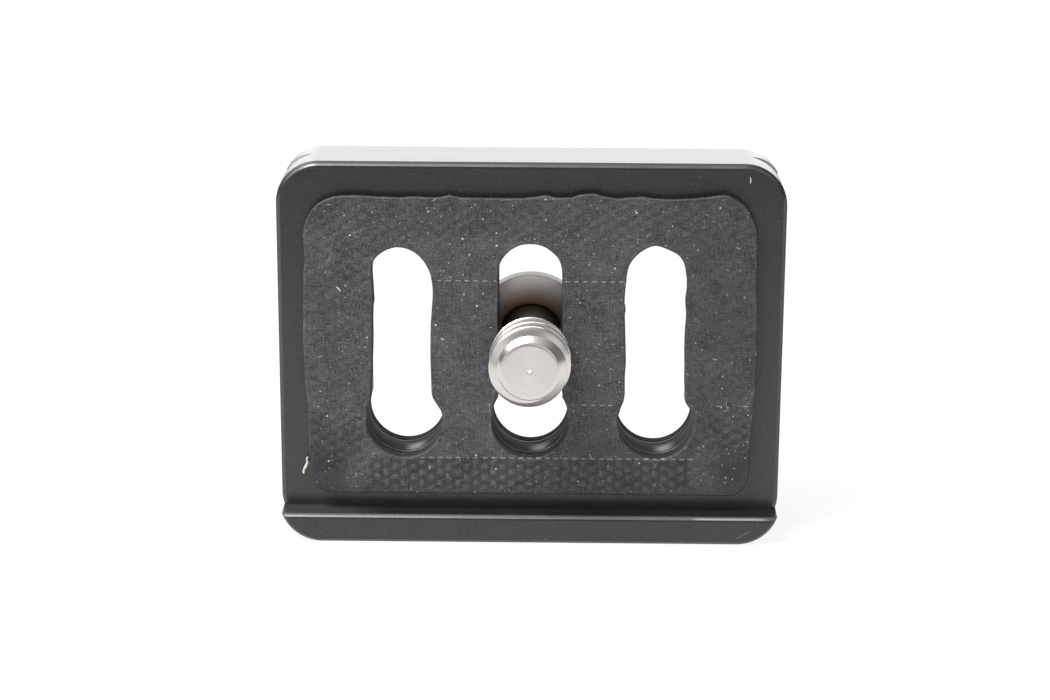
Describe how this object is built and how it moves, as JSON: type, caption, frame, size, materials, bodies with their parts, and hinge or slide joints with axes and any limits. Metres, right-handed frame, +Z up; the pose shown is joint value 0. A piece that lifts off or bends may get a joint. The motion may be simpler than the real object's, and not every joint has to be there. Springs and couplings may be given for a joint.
{
  "type": "camera plate",
  "caption": "Rounded rectangular quick-release plate with a dovetail down each side, a lower lip, a textured rubber pad, keyhole slots and a captive camera screw.",
  "frame": {"origin": "middle of the lower edge, in the plane of the metal face that the pad is let into", "axes": "+X along the plate to the right as seen from the pad side, +Y from the pad side to the back, +Z up from the lip edge that the plate stands on"},
  "size_m": [0.039, 0.0124, 0.0299],
  "materials": {
    "plate_body": "black anodised, satin",
    "rubber_pad": "textured black rubber with a cloth grain, worn and dusty",
    "friction_washer": "turned, plain",
    "camera_screw": "turned stainless steel"
  },
  "bodies": {
    "plate": {"plate_body": "plate_body", "rubber_pad": "rubber_pad"},
    "washer": {"friction_washer": "friction_washer"},
    "screw": {"camera_screw": "camera_screw"}
  },
  "joints": [
    {"name": "screw_slide", "type": "slide", "parent": "plate", "child": "washer", "axis": [0, 0, 1], "range_m": [-0.0058, 0.0062]},
    {"name": "screw_turn", "type": "hinge", "parent": "washer", "child": "screw", "pos_m": [0, 0, 0.0152], "axis": [0, 1, 0], "continuous": true}
  ]
}
